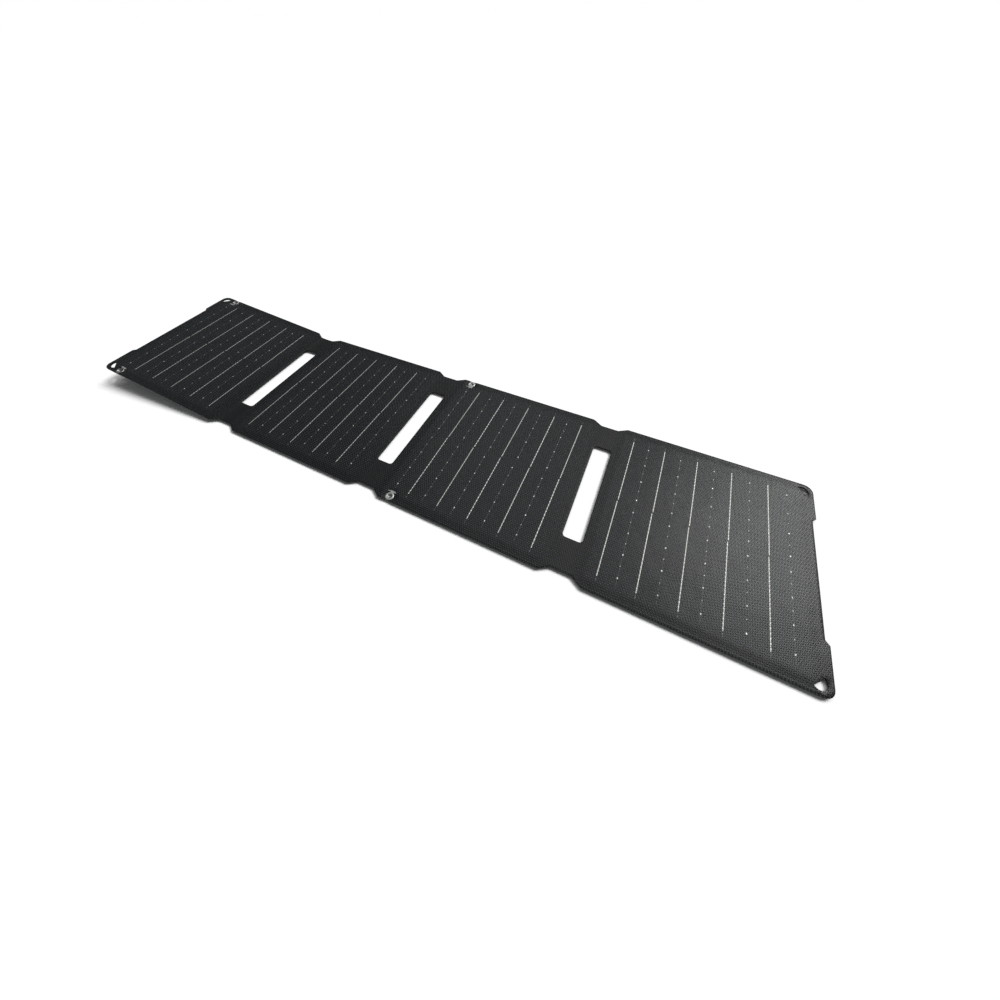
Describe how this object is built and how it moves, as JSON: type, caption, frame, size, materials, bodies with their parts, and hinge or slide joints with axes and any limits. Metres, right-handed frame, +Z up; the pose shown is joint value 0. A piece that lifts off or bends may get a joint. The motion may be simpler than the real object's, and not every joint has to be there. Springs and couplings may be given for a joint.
{
  "type": "folding solar blanket",
  "caption": "Flat blanket of solar cell panels joined by fabric folds, with hand slots at the folds and an output box under the cover panel.",
  "frame": {"origin": "middle of the spread blanket, on the surface it lies on", "axes": "+X along the blanket from the cover panel to the last panel, +Y across the folds, +Z up out of the cell side"},
  "size_m": [0.9112, 0.207, 0.0244],
  "materials": {
    "backing": "woven, dull",
    "board": "glass-fibre board",
    "sheet": "clear",
    "cell": "dark silicon",
    "ribbon": "tinned copper",
    "film": "embossed, satin",
    "copper": "tinned copper strip",
    "snap": "nickel, lightly worn",
    "case": "fine moulded texture",
    "rubber": "matt",
    "circuit": "green solder mask",
    "chip": "dull",
    "port": "pressed nickel-plated shell",
    "light": "clear pipe",
    "screw": "blackened"
  },
  "bodies": {
    "cover_panel": {"cover_back_fabric": "backing", "cover_board": "board", "cover_rear_sheet": "sheet", "cover_cells": "cell", "cover_ribbons": "ribbon", "cover_clear_sheet": "sheet", "cover_front_film": "film", "cover_link_ribbons": "copper", "snap_sockets": "snap", "snap_caps": "snap", "box_base": "case", "box_lid": "case", "box_seal": "rubber", "circuit_board": "circuit", "circuit_parts": "chip", "usb_a_port": "port", "usb_c_port": "port", "light_pipe": "light", "box_screws": "screw", "lead_tabs": "copper", "cover_anchor": "rubber"},
    "second_panel": {"second_back_fabric": "backing", "second_board": "board", "second_rear_sheet": "sheet", "second_cells": "cell", "second_ribbons": "ribbon", "second_clear_sheet": "sheet", "second_front_film": "film", "second_link_ribbons": "copper"},
    "third_panel": {"third_back_fabric": "backing", "third_board": "board", "third_rear_sheet": "sheet", "third_cells": "cell", "third_ribbons": "ribbon", "third_clear_sheet": "sheet", "third_front_film": "film", "third_link_ribbons": "copper", "snap_studs": "snap", "snap_eyelets": "snap"},
    "last_panel": {"last_back_fabric": "backing", "last_board": "board", "last_rear_sheet": "sheet", "last_cells": "cell", "last_ribbons": "ribbon", "last_clear_sheet": "sheet", "last_front_film": "film", "last_link_ribbons": "copper"},
    "port_cover": {"port_cover": "rubber"}
  },
  "joints": [
    {"name": "cover_fold", "type": "hinge", "parent": "second_panel", "child": "cover_panel", "pos_m": [-0.22972, 0, 0.01212], "axis": [0, 1, 0], "range_deg": [-30, 177.06]},
    {"name": "second_fold", "type": "hinge", "parent": "second_panel", "child": "third_panel", "pos_m": [0.00278, 0, 0.0056], "axis": [0, -1, 0], "range_deg": [-45, 177.5]},
    {"name": "last_fold", "type": "hinge", "parent": "third_panel", "child": "last_panel", "pos_m": [0.23378, 0, 0.00425], "axis": [0, -1, 0], "range_deg": [-45, 179.9]},
    {"name": "port_cover_swing", "type": "hinge", "parent": "cover_panel", "child": "port_cover", "pos_m": [-0.42079, 0.021, 0.01085], "axis": [-0.0945, 0, -0.9955], "range_deg": [0, 150]}
  ]
}
